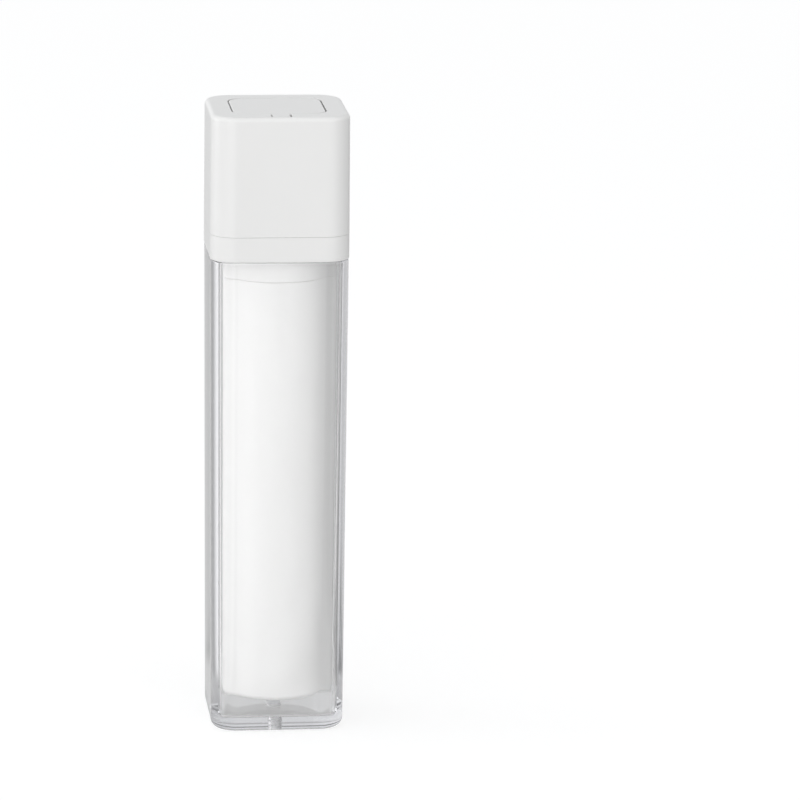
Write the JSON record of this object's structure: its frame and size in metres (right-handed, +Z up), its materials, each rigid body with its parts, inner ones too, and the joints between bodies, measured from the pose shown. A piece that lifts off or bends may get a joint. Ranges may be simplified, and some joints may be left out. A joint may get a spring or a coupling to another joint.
{
  "type": "airless pump bottle",
  "caption": "Square airless pump bottle with a clear outer wall, a white inner bottle and a white head; turning the head raises the spouted button, which is pressed to dispense.",
  "frame": {"origin": "centre of the foot of the bottle, on the surface it stands on", "axes": "+Z up along the bottle, -Y out of the spout and the front face, +X to the right of someone facing the front"},
  "size_m": [0.0342, 0.0342, 0.155],
  "materials": {
    "clear_plastic": "clear, polished",
    "white_gloss": "gloss",
    "white_polypropylene": "satin",
    "natural_polyethylene": "matte, slightly milky",
    "natural_polypropylene": "matte, milky",
    "white_acetal": "matte",
    "soft_seal": "matte",
    "spring_steel": "drawn wire",
    "polished_steel": "polished"
  },
  "bodies": {
    "bottle": {"outer_bottle": "clear_plastic", "inner_bottle": "white_polypropylene", "neck_gasket": "soft_seal", "pump_collar": "white_polypropylene", "pump_housing": "natural_polypropylene", "ball_retainer": "natural_polypropylene", "return_spring": "spring_steel", "stem_guide": "natural_polypropylene", "shoulder_collar": "white_gloss", "cam_sleeve": "white_acetal"},
    "head": {"head_shell": "white_gloss", "turn_sleeve": "white_acetal"},
    "lift": {"lift_sleeve": "white_acetal"},
    "button": {"button": "white_gloss", "nozzle_insert": "white_polypropylene", "upper_stem": "white_acetal", "lower_stem": "white_acetal"},
    "pump_seal": {"pump_piston": "natural_polyethylene"},
    "follower": {"follower_piston": "natural_polyethylene"},
    "ball": {"inlet_ball": "polished_steel"}
  },
  "joints": [
    {"name": "head_twist", "type": "hinge", "parent": "bottle", "child": "head", "pos_m": [0, 0, 0.1255], "axis": [0, 0, 1], "range_deg": [0, 90]},
    {"name": "button_lift", "type": "slide", "parent": "head", "child": "lift", "axis": [0, 0, 1], "range_m": [0, 0.008], "deforming": ["return_spring"]},
    {"name": "button_press", "type": "slide", "parent": "lift", "child": "button", "axis": [0, 0, 1], "range_m": [-0.0045, 0], "stiffness_N_per_m": 1200, "springref_m": 0.0002, "deforming": ["return_spring"]},
    {"name": "seal_shift", "type": "slide", "parent": "button", "child": "pump_seal", "axis": [0, 0, 1], "range_m": [0, 0.0008]},
    {"name": "follower_rise", "type": "slide", "parent": "bottle", "child": "follower", "axis": [0, 0, 1], "range_m": [0, 0.0755]},
    {"name": "ball_rise", "type": "slide", "parent": "bottle", "child": "ball", "axis": [0, 0, 1], "range_m": [0, 0.0005]}
  ],
  "couplings": [
    {"joint": "head_twist", "follows": "button_lift", "rad_per_m": 196.35}
  ]
}
